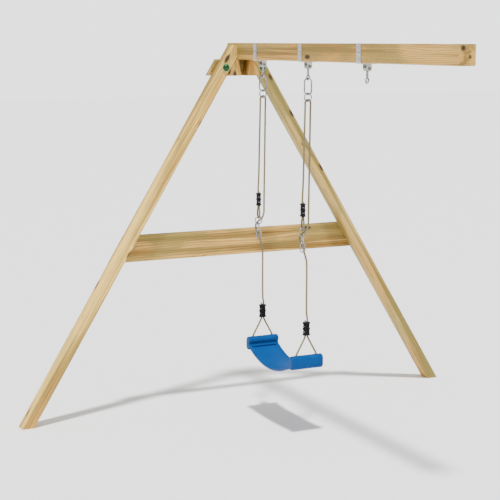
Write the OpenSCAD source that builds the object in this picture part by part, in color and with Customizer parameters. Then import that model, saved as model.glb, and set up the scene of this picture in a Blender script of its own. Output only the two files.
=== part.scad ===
// Timber swing bay: a swing beam on an A-frame, a flexible seat on two height-adjustable
// ropes, and the steel hangers, snap hooks and rings between them. The other end of the
// beam bolts down onto a play tower.
// +X runs along the beam towards the tower and +Z is up. The origin is on the ground
// under the middle of the frame. Modules count heights from the beam's underside and
// lengths from the tower bolt, and placed() moves them to the origin.

/* [Beam] */
// Side of the square swing beam
beam_side = 90; // [80:1:110]
// Length of the swing beam
beam_length = 2275; // [2100:5:2500]
// Height of the beam's underside above the ground
underside_height = 1960; // [1900:10:2200]
// Distance from the tower bolt to the beam end
bolt_edge = 45; // [35:1:60]
// Radius of the tower bolt hole
tower_hole_r = 5.5; // [4.5:0.5:6.5]
// Edge chamfer of the timbers
chamfer = 4; // [2:0.5:6]

/* [A-frame] */
// Lean of each leg from the vertical, in degrees
leg_lean = 31.5; // [28:0.5:33]
// Leg size across the beam direction
leg_depth = 58; // [45:1:62]
// Leg size along the beam direction
leg_width = 75; // [60:1:100]
// Distance of each leg bolt from the middle of the beam
leg_bolt_y = 112; // [105:1:125]
// Depth of the leg tops below the top of the beam
leg_top_drop = 10; // [6:1:50]
// Thickness of the head board
head_t = 45; // [35:1:50]
// Height of the head board
head_height = 90; // [80:1:110]
// Half length of the head board along its lower edge
head_half = 185; // [172:1:230]
// How far the beam stands out past the head board
beam_overhang = 10; // [5:1:80]
// Thickness of the cross brace
brace_t = 30; // [22:1:35]
// Height of the cross brace board
brace_height = 146; // [110:1:160]
// Depth of the brace's top edge below the beam
brace_drop = 960; // [850:10:1100]
// How far each brace end stops short of the outer edge of its leg
brace_inset = 14; // [0:1:16]

/* [Hangers] */
// Distance between the two swing hangers
hanger_spacing = 520; // [450:10:600]
// Distance from the tower bolt to the spare hanger
spare_offset = 758; // [700:1:800]
// Distance from the tower bolt to the first swing hanger
swing_offset = 1346; // [1300:1:1400]
// Width of the steel beam strap
strap_w = 40; // [34:1:46]
// Thickness of the steel beam strap
strap_t = 4; // [3:0.5:5]
// Depth of the hanger pivot below the beam
pivot_drop = 25; // [24:1:30]
// Radius of the pivot pin
pin_r = 4; // [3.5:0.1:4.2]
// Radius of the snap hook wire
hook_wire_r = 4; // [3.5:0.5:5]
// Overall length of a snap hook
hook_length = 90; // [84:1:105]
// Overall width of a snap hook
hook_width = 48; // [46:1:54]

/* [Ropes] */
// Diameter of the swing rope
rope_d = 11; // [9:0.5:11]
// Spacing of the two rope holes at each seat end
bridle_spread = 115; // [100:1:125]

/* [Seat] */
// Depth of the seat from front to back
seat_depth = 184; // [165:1:210]
// Thickness of the seat web
seat_t = 12; // [9:1:14]
// Sag of the seating surface between its ends
seat_sag = 62; // [30:1:70]
// Thickness of each seat end
roll_t = 44; // [38:1:48]
// Height of each seat end
roll_h = 74; // [66:1:80]
// Depth of the seating surface below the top of the seat ends
seat_step = 49; // [40:1:55]

/* [Hidden] */

$fn = 48;
gap = 0.3;                 // running gap between loose pieces
drill_gap = 0.1;           // radial room of a screw or bolt in timber
eps = 0.01;

// places along the beam
beam_x0 = bolt_edge - beam_length;
head_x0 = beam_x0 + beam_overhang;
leg_x0 = head_x0 + head_t;
leg_x1 = leg_x0 + leg_width;
leg_mid_x = leg_x0 + leg_width / 2;
right_x = -swing_offset;
left_x = right_x - hanger_spacing;
spare_x = -spare_offset;

// A-frame
leg_bolt_z = -head_height / 2;
leg_edge = leg_depth / 2 / cos(leg_lean);      // half a leg's width along Y
leg_top_z = beam_side - leg_top_drop;
leg_bolt_r = 5;
block_top_y = 36;        // inner corners of a corner block
block_low_y = 20;
cap_r = 20;
cap_h = 15;
cap_wall = 2.5;
cap_base_r = 23;
cap_base_t = 3;
head_r = 11;
head_h = 6;
nut_h = 8;
nut_across = 17;
screw_r = 3;
screw_head_r = 6;
leg_screw_z = 30;
leg_screw_l = 80;
block_screw_l = 65;
block_sink = 43;           // depth of a block screw's counterbore
brace_screw_l = 70;
brace_z1 = -brace_drop;
brace_z0 = -brace_drop - brace_height;

// hanger
strap_bolt_r = 4;
ear_t = 5;
ear_r = 13;
bush_wall = 4;
bush_r = pin_r + 0.06 + bush_wall;
link_eye_wall = 5;
link_shank_r = 6;
link_eye_wire_r = 4;
link_eye_inner_r = 9;
link_eye_land = 1;         // depth of the straight wall bored in the eye
link_eye_drop = 81;        // depth of the lower eye's centre below the beam
ear_gap = strap_w / 2 - ear_t;

// snap hook: an oval of wire in the plane across the beam, its gate on the -Y side
hook_r = hook_width / 2 - hook_wire_r;         // centreline radius of its bends
hook_top_z = -link_eye_drop - link_eye_inner_r + hook_wire_r + gap;
hook_low_z = hook_top_z - hook_length + 2 * hook_wire_r;
hook_c1 = hook_top_z - hook_r;
hook_c2 = hook_low_z + hook_r;
gate_pin_r = 1.5;
gate_pin_z = hook_c2 + 7;
gate_knuckle = 4;          // radius of the gate's knuckle
gate_room = 0.6;           // gap at the gate's tip and round its knuckle
tang_half = 1.5;
cheek_t = 1.8;
nose_z = hook_c1 - 4;

// top ring
ring_wire_r = 3;
ring_r = 21;
ring_turn = 30;
ring_z = hook_low_z + hook_wire_r + ring_wire_r + gap - ring_r;
rope_r = rope_d / 2;
crown_r = 15;
crown_z = ring_z - ring_r + ring_wire_r + gap + rope_r - crown_r;

// rope fittings
clamp_bore = rope_r + 0.25;
clamp_pitch = 6.2;         // half the spacing of the two strands in a clamp
upper_clamp_y = -25;
upper_clamp_z0 = -790;
upper_clamp_z1 = -722;
upper_half = 10.5;
lower_clamp_z0 = -1415;
lower_clamp_z1 = -1345;
lower_half = 12.5;
link_wire_r = 3;
mid_wire_r = 2.5;
eye_low_z = -860;          // centreline of the rope at the bottom of the upper eye
upper_link_r = 20.5;
mid_link_w = 15;
mid_link_h = 44;
lower_link_w = 26;
lower_link_h = 50;
upper_link_z = eye_low_z + rope_r + link_wire_r + gap - upper_link_r;
mid_link_top = upper_link_z - upper_link_r + link_wire_r + mid_wire_r + gap;
lower_link_top = mid_link_top - mid_link_h + link_wire_r + mid_wire_r + gap;

// seat
hole_r = rope_r + 0.6;
roll_top = -1520;
roll_bottom = roll_top - roll_h;
mouth_z = roll_top + rope_r + gap;   // centre of the rope where it enters the seat
web_half = hanger_spacing / 2 - roll_t / 2;
web_r = (web_half * web_half + seat_sag * seat_sag) / (2 * seat_sag);
web_z = roll_top - seat_step - seat_sag + web_r;
rim_r = 9;
tuck_r = 20;               // bend of the rope below the seat end
tuck_z = roll_bottom + 17;

// Route of one swing rope, from its tail in the upper clamp, round the eye, up,
// over the top ring, down through the adjuster and the lower clamp to the seat.
eye_route = [
    [clamp_pitch, -25, -716], [clamp_pitch, -25, -755], [clamp_pitch, -25, -790],
    [8, -25, -803], [11.5, -25, -818], [13, -25, -832], [12.5, -25, -845],
    [9, -25, -855], [0, -25, -860], [-9, -25, -855], [-12.5, -25, -845], [-13, -25, -832],
    [-11.5, -25, -818], [-8, -25, -803], [-clamp_pitch, -25, -790],
    [-clamp_pitch, -25, -722], [-5, -25, -690], [0, -24, -620], [0, -20, -430],
    [0, -15.5, -240]
];
crown_route = [
    for (a = [180:-22.5:0]) [0, crown_r * cos(a), crown_z + crown_r * sin(a)]
];
weave_route = [
    [0, 14.8, -240], [0, 11, -550], [0, 8, -780], [3, 6.5, -812], [7, 3.5, -832],
    [9.3, -2, -846], [9.3, -9, -858], [5.5, -16.5, -867], [0, -23, -874], [-6, -29, -881],
    [-9.3, -35, -890], [-9.3, -38, -905], [-9.3, -36, -921], [-9, -31.5, -935],
    [-4.5, -27, -945], [0, -25, -951], [5, -23.5, -957], [9.3, -22, -967],
    [9.3, -19, -980], [6, -12, -997], [2, -4, -1018], [0, -0.5, -1042], [0, 0, -1070],
    [0, 0, -1270], [0, 1, -1300], [0, 4.5, -1325], [0, clamp_pitch, -1342]
];
bridle_route = [
    [0, clamp_pitch, -1380], [0, clamp_pitch, -1415], [0, 8, -1424], [0, 12, -1433],
    [0, bridle_spread / 2, mouth_z]
];
rope_route = concat(eye_route, crown_route, weave_route, bridle_route);
tail_route = [
    [0, -clamp_pitch, -1338], [0, -clamp_pitch, -1380], [0, -clamp_pitch, -1415],
    [0, -8, -1424], [0, -12, -1433], [0, -bridle_spread / 2, mouth_z]
];
seat_route = concat(
    [[0, bridle_spread / 2, roll_top - eps]],
    [for (a = [0:-22.5:-90])
        [0, bridle_spread / 2 - tuck_r + tuck_r * cos(a), tuck_z + tuck_r + tuck_r * sin(a)]],
    [for (a = [-90:-22.5:-180])
        [0, -bridle_spread / 2 + tuck_r + tuck_r * cos(a), tuck_z + tuck_r + tuck_r * sin(a)]],
    [[0, -bridle_spread / 2, roll_top - eps]]
);

// ---------- shared shapes ----------

// rectangle w by h with cut corners, centred
module cut_rect(w, h, c) {
    polygon([
        [-w / 2 + c, -h / 2], [w / 2 - c, -h / 2], [w / 2, -h / 2 + c], [w / 2, h / 2 - c],
        [w / 2 - c, h / 2], [-w / 2 + c, h / 2], [-w / 2, h / 2 - c], [-w / 2, -h / 2 + c]
    ]);
}

// turns a shape drawn in XY so that its x lies along Y and its y along Z
module in_yz() { rotate([90, 0, 90]) children(); }

// turns a shape drawn in XY so that its x lies along X and its y along Z
module in_xz() { rotate([90, 0, 0]) children(); }

// cylinder along X from x0 to x1
module rod_x(r, x0, x1) { translate([x0, 0, 0]) rotate([0, 90, 0]) cylinder(r = r, h = x1 - x0); }

// cylinder along Y from y0 to y1
module rod_y(r, y0, y1) { translate([0, y0, 0]) rotate([-90, 0, 0]) cylinder(r = r, h = y1 - y0); }

// part of a ring of round wire, in XY
module arc_wire(R, r, a0, a1) {
    rotate([0, 0, a0]) rotate_extrude(angle = a1 - a0) translate([R, 0]) circle(r);
}

// closed ring of round wire, in XY
module ring_wire(R, r) { rotate_extrude() translate([R, 0]) circle(r); }

// oval link of round wire, in XY, w and h on the wire's centreline
module oval_link(w, h, r) {
    s = h - w;
    for (k = [-1, 1]) {
        translate([0, k * s / 2, 0]) arc_wire(w / 2, r, k > 0 ? 0 : 180, k > 0 ? 180 : 360);
        translate([k * w / 2, -s / 2, 0]) rotate([-90, 0, 0]) cylinder(r = r, h = s);
    }
}

// outline with round ends, w wide along x and h tall
module stadium(w, h) {
    square([w - h, h], center = true);
    for (k = [-1, 1]) translate([k * (w - h) / 2, 0]) circle(h / 2);
}

// dome with a flat base on z = 0
module dome(r, h) {
    R = (r * r + h * h) / (2 * h);
    rotate_extrude() intersection() {
        translate([0, h - R]) circle(R, $fn = 96);
        square([r, h]);
    }
}

module hex_nut(across, h, bore) {
    difference() {
        cylinder(d = across / cos(30), h = h, $fn = 6);
        translate([0, 0, -1]) cylinder(r = bore, h = h + 2);
    }
}

// tube swept along a route
function unit(v) = v / norm(v);
function route_tangent(p, i) =
    unit(i == 0 ? p[1] - p[0]
        : i == len(p) - 1 ? p[i] - p[i - 1]
        : unit(p[i] - p[i - 1]) + unit(p[i + 1] - p[i]));
// direction across the tube, carried along so that the sides never twist
function carry(u, t) = unit(u - (u * t) * t);
function sides_of(q) =
    [for (i = 0, u = carry([1, 0, 0], route_tangent(q, 0)); i < len(q);
          i = i + 1, u = i < len(q) ? carry(u, route_tangent(q, i)) : u) u];
function ring_at(p, t, u, r, sides) = let (v = cross(t, u))
    [for (k = [0:sides - 1]) p + r * (cos(360 * k / sides) * u + sin(360 * k / sides) * v)];
// points of a route with its last point drawn out into a round nose
function nose(p, r) = let (e = p[len(p) - 1], t = route_tangent(p, len(p) - 1))
    [for (a = [25, 50, 75]) e + r * sin(a) * t];
module rope_tube(p, r, round_end = false, sides = 8) {
    q = round_end ? concat(p, nose(p, r)) : p;
    radii = [for (i = [0:len(q) - 1]) i < len(p) ? r : r * cos(25 * (i - len(p) + 1))];
    n = len(q);
    across = sides_of(q);
    pts = [for (i = [0:n - 1])
        each ring_at(q[i], route_tangent(q, i), across[i], radii[i], sides)];
    sides_f = [for (i = [0:n - 2], k = [0:sides - 1])
        let (a = i * sides + k, b = i * sides + (k + 1) % sides)
        each [[a, b, b + sides], [a, b + sides, a + sides]]];
    cap0 = [for (k = [sides - 1:-1:0]) k];
    cap1 = [for (k = [0:sides - 1]) (n - 1) * sides + k];
    polyhedron(pts, concat(sides_f, [cap0, cap1]), convexity = 6);
}

// ---------- timber frame ----------

module hanger_places() { for (x = [left_x, right_x, spare_x]) translate([x, 0, 0]) children(); }

module swing_beam() {
    color("#c9ab6a") difference() {
        translate([beam_x0, 0, beam_side / 2]) in_yz()
            linear_extrude(beam_length) cut_rect(beam_side, beam_side, chamfer);
        translate([0, 0, -1]) cylinder(r = tower_hole_r, h = beam_side + 2);
        hanger_places() translate([0, 0, beam_side / 2])
            rod_y(strap_bolt_r + drill_gap, -beam_side, beam_side);
        both_sides() leg_screw_hole();
        both_sides() block_screw_hole();
    }
}

module both_sides() { for (k = [0, 1]) mirror([0, k, 0]) children(); }

// middle of a leg at a height, and the leg on the -Y side
function leg_y(z) = leg_bolt_y - (z - leg_bolt_z) * tan(leg_lean);
module leg_blank() {
    foot_run = (underside_height + leg_bolt_z) / cos(leg_lean) + leg_depth;
    translate([leg_mid_x, -leg_bolt_y, leg_bolt_z]) rotate([-leg_lean, 0, 0])
        translate([0, 0, -foot_run])
            linear_extrude(foot_run + 2 * beam_side) cut_rect(leg_width, leg_depth, chamfer);
}

module leg() {
    big = 4 * leg_width;
    difference() {
        leg_blank();
        translate([leg_mid_x - big / 2, -leg_y(-underside_height) - big, -underside_height - big])
            cube([big, 2 * big, big]);
        translate([leg_mid_x - big / 2, -big / 2, leg_top_z]) cube([big, big, big]);
        translate([leg_mid_x - big / 2, -beam_side / 2, 0]) cube([big, big, big]);
        translate([0, -leg_bolt_y, leg_bolt_z])
            rod_x(leg_bolt_r + drill_gap, leg_x0 - 1, leg_x1 + 1);
        leg_screw_hole();
        brace_screw_places() rod_x(screw_r + drill_gap, -1, brace_screw_l + 2);
    }
}

module front_leg() { color("#dcbf7c") leg(); }
module rear_leg() { color("#b8a765") mirror([0, 1, 0]) leg(); }

module leg_bolt_places() { both_sides() translate([0, -leg_bolt_y, leg_bolt_z]) children(); }

module head_board() {
    half_high = head_half - head_height * tan(leg_lean);
    color("#a8924f") difference() {
        translate([head_x0, 0, 0]) in_yz() linear_extrude(head_t) polygon([
            [-head_half, -head_height], [head_half, -head_height],
            [half_high, 0], [-half_high, 0]
        ]);
        leg_bolt_places() rod_x(leg_bolt_r + drill_gap, head_x0 - 1, leg_x0 + 1);
    }
}

// wedge under the beam against the inner face of the -Y leg
module corner_block() {
    difference() {
        translate([leg_x0, 0, 0]) in_yz() linear_extrude(leg_width) polygon([
            [-leg_y(0) + leg_edge, 0], [-block_top_y, 0],
            [-block_low_y, -head_height], [-leg_y(-head_height) + leg_edge, -head_height]
        ]);
        block_screw_hole();
    }
}
module front_corner_block() { color("#cdb070") corner_block(); }
module rear_corner_block() { color("#cdb070") mirror([0, 1, 0]) corner_block(); }

module block_screw_at() {
    translate([leg_mid_x, -(block_top_y + block_low_y) / 2 - 12, -head_height]) children();
}
module block_screw_hole() {
    block_screw_at() {
        translate([0, 0, -1]) cylinder(r = screw_r + drill_gap, h = block_sink + block_screw_l + 1);
        translate([0, 0, -1]) cylinder(r = screw_head_r + drill_gap, h = block_sink + 1);
    }
}
module block_screws() {
    color("silver") both_sides() block_screw_at() {
        translate([0, 0, block_sink]) cylinder(r = screw_r, h = block_screw_l - gap);
        translate([0, 0, block_sink - 3]) cylinder(r = screw_head_r, h = 3);
    }
}

// Y of the brace's end at a height
function brace_reach(z) = leg_y(z) + leg_edge - brace_inset;
module cross_brace() {
    color("#bfa662") difference() {
        translate([leg_x0 - brace_t, 0, 0]) in_yz() linear_extrude(brace_t) polygon([
            [-brace_reach(brace_z0), brace_z0], [brace_reach(brace_z0), brace_z0],
            [brace_reach(brace_z1), brace_z1], [-brace_reach(brace_z1), brace_z1]
        ]);
        both_sides() brace_screw_places() {
            rod_x(screw_r + drill_gap, -1, brace_t + 1);
            rod_x(screw_head_r + drill_gap, -1, screw_r);
        }
    }
}

// two screws at the -Y end of the brace, from its outer face
module brace_screw_places() {
    for (f = [0.25, 0.75]) {
        z = brace_z0 + f * brace_height;
        translate([leg_x0 - brace_t, -leg_y(z), z]) children();
    }
}

module brace_screws() {
    color("silver") both_sides() brace_screw_places() {
        rod_x(screw_r, screw_r, brace_screw_l);
        rod_x(screw_head_r, 0.5, screw_r);
    }
}

// screw through a leg top into the side of the beam
leg_screw_y = -leg_y(leg_screw_z) - leg_edge;
module leg_screw_hole() {
    translate([leg_mid_x, leg_screw_y, leg_screw_z]) {
        rod_y(screw_r + drill_gap, -1, leg_screw_l + 1);
        rod_y(screw_head_r + drill_gap, -10, 9);
    }
}
module leg_screws() {
    color("silver") both_sides() translate([leg_mid_x, leg_screw_y, leg_screw_z]) {
        rod_y(screw_r, 9, leg_screw_l);
        rod_y(screw_head_r, 5.5, 9);
    }
}

module head_bolts() {
    color("silver") leg_bolt_places() {
        rod_x(leg_bolt_r, head_x0 - cap_base_t - nut_h - 1, leg_x1 + cap_base_t + 1);
        translate([leg_x1 + cap_base_t, 0, 0]) rotate([0, 90, 0]) dome(head_r, head_h);
    }
}

module head_nuts() {
    color("silver") leg_bolt_places() translate([head_x0 - cap_base_t, 0, 0]) rotate([0, -90, 0])
        hex_nut(nut_across, nut_h, leg_bolt_r + drill_gap);
}

module cap_base() {
    difference() {
        cylinder(r = cap_base_r, h = cap_base_t);
        translate([0, 0, -1]) cylinder(r = leg_bolt_r + drill_gap, h = cap_base_t + 2);
    }
}
module bolt_cap() {
    difference() {
        dome(cap_r, cap_h);
        translate([0, 0, -eps]) dome(cap_r - cap_wall, cap_h - cap_wall);
    }
}
module on_bolt_ends() {
    leg_bolt_places() {
        translate([leg_x1, 0, 0]) rotate([0, 90, 0]) children();
        translate([head_x0, 0, 0]) rotate([0, -90, 0]) children();
    }
}
module cap_bases() { color("#8fbf8a") on_bolt_ends() cap_base(); }
module bolt_caps() { color("#1d5f22") on_bolt_ends() translate([0, 0, cap_base_t]) bolt_cap(); }

// ---------- hangers ----------

// square ring profile of the strap, open at the top, in YZ
module strap_profile() {
    inner = beam_side / 2;
    outer = inner + strap_t;
    difference() {
        union() {
            translate([-outer, chamfer]) square([2 * outer, beam_side - chamfer - 2]);
            translate([-inner + chamfer, -strap_t]) square([2 * (inner - chamfer), 2 * strap_t]);
            for (k = [-1, 1]) translate([k * (inner - chamfer), chamfer]) circle(chamfer + strap_t);
        }
        translate([-inner, chamfer]) square([2 * inner, beam_side]);
        translate([-inner + chamfer, 0]) square([2 * (inner - chamfer), beam_side]);
        for (k = [-1, 1]) translate([k * (inner - chamfer), chamfer]) circle(chamfer);
    }
}

module strap() {
    color("#d8d6cf") difference() {
        union() {
            translate([-strap_w / 2, 0, 0]) in_yz() linear_extrude(strap_w) strap_profile();
            for (k = [-1, 1]) translate([k * (strap_w / 2 - ear_t / 2), 0, 0]) ear();
        }
        translate([0, 0, beam_side / 2]) rod_y(strap_bolt_r + drill_gap, -beam_side, beam_side);
    }
}

module ear() {
    difference() {
        union() {
            translate([0, 0, -pivot_drop]) rod_x(ear_r, -ear_t / 2, ear_t / 2);
            translate([-ear_t / 2, -ear_r, -pivot_drop])
                cube([ear_t, 2 * ear_r, pivot_drop - strap_t + eps]);
        }
        translate([0, 0, -pivot_drop]) rod_x(pin_r + drill_gap, -ear_t, ear_t);
    }
}

module pivot_pin() {
    color("#55565a") translate([0, 0, -pivot_drop]) {
        rod_x(pin_r, -strap_w / 2 - 8, strap_w / 2 + 1);
        translate([strap_w / 2, 0, 0]) rotate([0, 90, 0]) cylinder(d = 13 / cos(30), h = 5.3, $fn = 6);
    }
}
module pivot_nut() {
    translate([-strap_w / 2, 0, -pivot_drop]) rotate([0, -90, 0])
        hex_nut(13, 6.5, pin_r + drill_gap);
}
module pivot_nuts() { color("silver") hanger_places() pivot_nut(); }

module strap_bolts() {
    color("#8a8078") hanger_places() translate([0, 0, beam_side / 2]) {
        side = beam_side / 2 + strap_t;
        rod_y(strap_bolt_r, -side - 2, side + 12);
        translate([0, -side - 1.6, 0]) rotate([90, 0, 0]) dome(8.5, 5);
    }
}
module strap_washers() {
    color("silver") hanger_places() translate([0, 0, beam_side / 2]) for (k = [0, 1])
        mirror([0, k, 0]) translate([0, -beam_side / 2 - strap_t, 0]) rotate([90, 0, 0])
            difference() {
                cylinder(r = 8.5, h = 1.6);
                translate([0, 0, -1]) cylinder(r = strap_bolt_r + drill_gap, h = 4);
            }
}
module strap_nuts() {
    color("silver") hanger_places()
        translate([0, beam_side / 2 + strap_t + 1.6, beam_side / 2]) rotate([-90, 0, 0])
            hex_nut(13, 6.5, strap_bolt_r + drill_gap);
}

module pivot_bush() {
    color("#e8e4da") translate([0, 0, -pivot_drop]) difference() {
        rod_x(bush_r, -ear_gap + gap, ear_gap - gap);
        rod_x(pin_r + 0.06, -strap_w, strap_w);
    }
}

module hanger_link() {
    eye_w = 2 * (ear_gap - gap) - 2;
    top_r = bush_r + link_eye_wall;
    color("#8d8f94") difference() {
        union() {
            translate([0, 0, -pivot_drop]) rod_x(top_r, -eye_w / 2, eye_w / 2);
            translate([0, 0, -link_eye_drop + link_eye_inner_r + 2]) cylinder(
                r = link_shank_r,
                h = link_eye_drop - link_eye_inner_r - 2 - pivot_drop - bush_r - 1
            );
            translate([0, 0, -link_eye_drop]) in_xz()
                ring_wire(link_eye_inner_r + link_eye_wire_r - link_eye_land, link_eye_wire_r);
        }
        translate([0, 0, -pivot_drop]) rod_x(bush_r + 0.05, -strap_w, strap_w);
        translate([0, 0, -link_eye_drop]) rod_y(link_eye_inner_r, -3, 3);
    }
}

// ---------- snap hooks ----------

// straight wire up along Z at a place in the hook's plane
module upright(y, z0, z1, r) { translate([0, y, z0]) cylinder(r = r, h = z1 - z0); }

module snap_hook() {
    color("#9a9ca1") difference() {
        union() {
            translate([0, 0, hook_c1]) in_yz() arc_wire(hook_r, hook_wire_r, 0, 180);
            translate([0, 0, hook_c2]) in_yz() arc_wire(hook_r, hook_wire_r, 180, 360);
            upright(hook_r, hook_c2, hook_c1, hook_wire_r);
            upright(-hook_r, nose_z, hook_c1, hook_wire_r);
            upright(-hook_r, hook_c2, gate_pin_z - gate_knuckle - gate_room, hook_wire_r);
            translate([-tang_half, -hook_r - 3, hook_c2])
                cube([2 * tang_half, 6, gate_pin_z - hook_c2]);
            at_gate_pin() rod_x(gate_knuckle - 0.4, -tang_half, tang_half);
        }
        at_gate_pin() rod_x(gate_pin_r + 0.05, -9, 9);
    }
}

module at_gate_pin() { translate([0, -hook_r, gate_pin_z]) children(); }

module snap_gate() {
    low = gate_pin_z + gate_knuckle + gate_room;
    color("#b4b6ba") difference() {
        union() {
            upright(-hook_r, low, nose_z - gate_room, hook_wire_r - 0.2);
            for (k = [0, 1]) mirror([k, 0, 0]) at_gate_pin() {
                rod_x(gate_knuckle - 0.4, tang_half + gap, tang_half + gap + cheek_t);
                translate([tang_half + gap, -2.2, 0]) cube([cheek_t - 0.6, 4.4, low - gate_pin_z + 2]);
            }
        }
        at_gate_pin() rod_x(gate_pin_r + 0.05, -9, 9);
    }
}

module gate_pin() {
    half = tang_half + gap + cheek_t;
    color("#8d8f94") at_gate_pin() rod_x(gate_pin_r, -half, half);
}

module top_ring() {
    color("#a9abb0") translate([0, 0, ring_z]) rotate([0, 0, ring_turn]) in_xz()
        ring_wire(ring_r, ring_wire_r);
}

// ---------- ropes and their fittings ----------

module swing_rope() { color("#b3a77f") rope_tube(rope_route, rope_r, true); }
module bridle_tail() { color("#b3a77f") rope_tube(tail_route, rope_r, true); }
module seat_rope() { color("#b3a77f") rope_tube(seat_route, rope_r); }

// ribbed sleeve that grips two rope strands side by side along Y
module clamp(z0, z1, half) {
    h = z1 - z0;
    flange = 8;
    body_w = 2 * clamp_pitch + 2 * half;
    color("#1b1b1d") difference() {
        union() {
            translate([0, 0, z0]) clamp_layer(body_w, 2 * half, h);
            for (z = [z0, z0 + h / 2 - flange / 2, z1 - flange]) translate([0, 0, z])
                clamp_layer(body_w + 4, 2 * half + 4, flange);
        }
        for (k = [-1, 1]) translate([0, k * clamp_pitch, z0 - 1])
            cylinder(r = clamp_bore, h = h + 2);
        clamp_screw_places(z0, z1, half) rod_x(1.7, -2 * half, 2 * half);
    }
}
module clamp_layer(w, d, h) { linear_extrude(h) rotate([0, 0, 90]) stadium(w, d); }

// screws outside the strands hold the halves of a clamp together
module clamp_screw_places(z0, z1, half) {
    h = z1 - z0;
    for (f = [0.3, 0.7]) for (k = [-1, 1])
        translate([0, k * (clamp_pitch + clamp_bore + 2.2), z0 + f * h]) children();
}
module clamp_screws_in(z0, z1, half) {
    clamp_screw_places(z0, z1, half) rod_x(1.6, -half * 0.75, half * 0.75);
}
// the strands of the upper clamp lie side by side along the beam
module at_upper_clamp() { translate([0, upper_clamp_y, 0]) rotate([0, 0, 90]) children(); }
module upper_clamp() { at_upper_clamp() clamp(upper_clamp_z0, upper_clamp_z1, upper_half); }
module lower_clamp() { clamp(lower_clamp_z0, lower_clamp_z1, lower_half); }
module clamp_screws() {
    color("silver") {
        at_upper_clamp() clamp_screws_in(upper_clamp_z0, upper_clamp_z1, upper_half);
        clamp_screws_in(lower_clamp_z0, lower_clamp_z1, lower_half);
    }
}

// three links below the rope eye: the rope weaves through the first and the last
module adjuster_links() {
    color("#9c9ea3") translate([0, upper_clamp_y, 0]) {
        translate([0, 0, upper_link_z]) in_yz() ring_wire(upper_link_r, link_wire_r);
        translate([0, 0, mid_link_top - mid_link_h / 2]) in_xz()
            oval_link(mid_link_w, mid_link_h, mid_wire_r);
        translate([0, 0, lower_link_top - lower_link_h / 2]) in_yz()
            oval_link(lower_link_w, lower_link_h, link_wire_r);
    }
}

// ---------- seat ----------

// sagging web with a round rim along its front and back edges
module seat_web() {
    half_turn = asin(web_half / web_r) + 1;
    translate([0, 0, web_z]) {
        translate([0, seat_depth / 2 - rim_r, 0]) in_xz()
            rotate([0, 0, -90 - half_turn]) rotate_extrude(angle = 2 * half_turn, $fn = 360)
                translate([web_r, 0]) square([seat_t, seat_depth - 2 * rim_r]);
        for (k = [-1, 1]) translate([0, k * (seat_depth / 2 - rim_r), 0]) in_xz()
            rotate([0, 0, -90 - half_turn]) rotate_extrude(angle = 2 * half_turn, $fn = 360)
                translate([web_r + seat_t / 2, 0]) circle(rim_r, $fn = 32);
    }
}

module swing_seat() {
    color("#0f62ad") translate([(left_x + right_x) / 2, 0, 0]) difference() {
        union() {
            seat_web();
            for (k = [-1, 1])
                translate([k * hanger_spacing / 2, seat_depth / 2, roll_top - roll_h / 2])
                    in_xz() linear_extrude(seat_depth) rotate(90) stadium(roll_h, roll_t);
        }
        for (k = [-1, 1]) translate([k * hanger_spacing / 2, 0, 0]) rope_channel();
    }
}

// path of the rope through a seat end: down, under and up again
module rope_channel() {
    half = bridle_spread / 2;
    for (k = [-1, 1]) {
        translate([0, k * half, tuck_z + tuck_r]) cylinder(r = hole_r, h = roll_h);
        translate([0, k * (half - tuck_r), tuck_z + tuck_r]) in_yz()
            arc_wire(tuck_r, hole_r, k > 0 ? -90 : 180, k > 0 ? 0 : 270);
    }
    translate([0, 0, tuck_z]) rod_y(hole_r, -half + tuck_r, half - tuck_r);
    translate([-hole_r, -half + tuck_r, roll_bottom - 1])
        cube([2 * hole_r, 2 * (half - tuck_r), tuck_z - roll_bottom + 1]);
}

// ---------- nodes ----------

module placed() { translate([beam_length / 2 - bolt_edge, 0, underside_height]) children(); }
module at_left() { placed() translate([left_x, 0, 0]) children(); }
module at_right() { placed() translate([right_x, 0, 0]) children(); }
module at_spare() { placed() translate([spare_x, 0, 0]) children(); }

placed() swing_beam();
placed() front_leg();
placed() rear_leg();
placed() head_board();
placed() front_corner_block();
placed() rear_corner_block();
placed() cross_brace();
placed() head_bolts();
placed() head_nuts();
placed() cap_bases();
placed() bolt_caps();
placed() leg_screws();
placed() block_screws();
placed() brace_screws();
at_left() strap();  // strap_left
at_right() strap();  // strap_right
at_spare() strap();  // strap_spare
placed() strap_bolts();
placed() strap_washers();
placed() strap_nuts();
at_left() pivot_pin();  // pivot_pin_left
at_right() pivot_pin();  // pivot_pin_right
at_spare() pivot_pin();  // pivot_pin_spare
placed() pivot_nuts();
at_left() pivot_bush();  // pivot_bush_left
at_right() pivot_bush();  // pivot_bush_right
at_spare() pivot_bush();  // pivot_bush_spare
at_left() hanger_link();  // hanger_link_left
at_right() hanger_link();  // hanger_link_right
at_spare() hanger_link();  // hanger_link_spare
at_left() snap_hook();  // snap_hook_left
at_right() snap_hook();  // snap_hook_right
at_left() snap_gate();  // snap_gate_left
at_right() snap_gate();  // snap_gate_right
at_left() gate_pin();  // gate_pin_left
at_right() gate_pin();  // gate_pin_right
at_left() top_ring();  // top_ring_left
at_right() top_ring();  // top_ring_right
at_left() swing_rope();  // swing_rope_left
at_right() swing_rope();  // swing_rope_right
at_left() bridle_tail();  // bridle_tail_left
at_right() bridle_tail();  // bridle_tail_right
at_left() upper_clamp();  // upper_clamp_left
at_right() upper_clamp();  // upper_clamp_right
at_left() lower_clamp();  // lower_clamp_left
at_right() lower_clamp();  // lower_clamp_right
at_left() clamp_screws();  // clamp_screws_left
at_right() clamp_screws();  // clamp_screws_right
at_left() adjuster_links();  // adjuster_links_left
at_right() adjuster_links();  // adjuster_links_right
placed() swing_seat();
at_left() seat_rope();  // seat_rope_left
at_right() seat_rope();  // seat_rope_right
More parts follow.
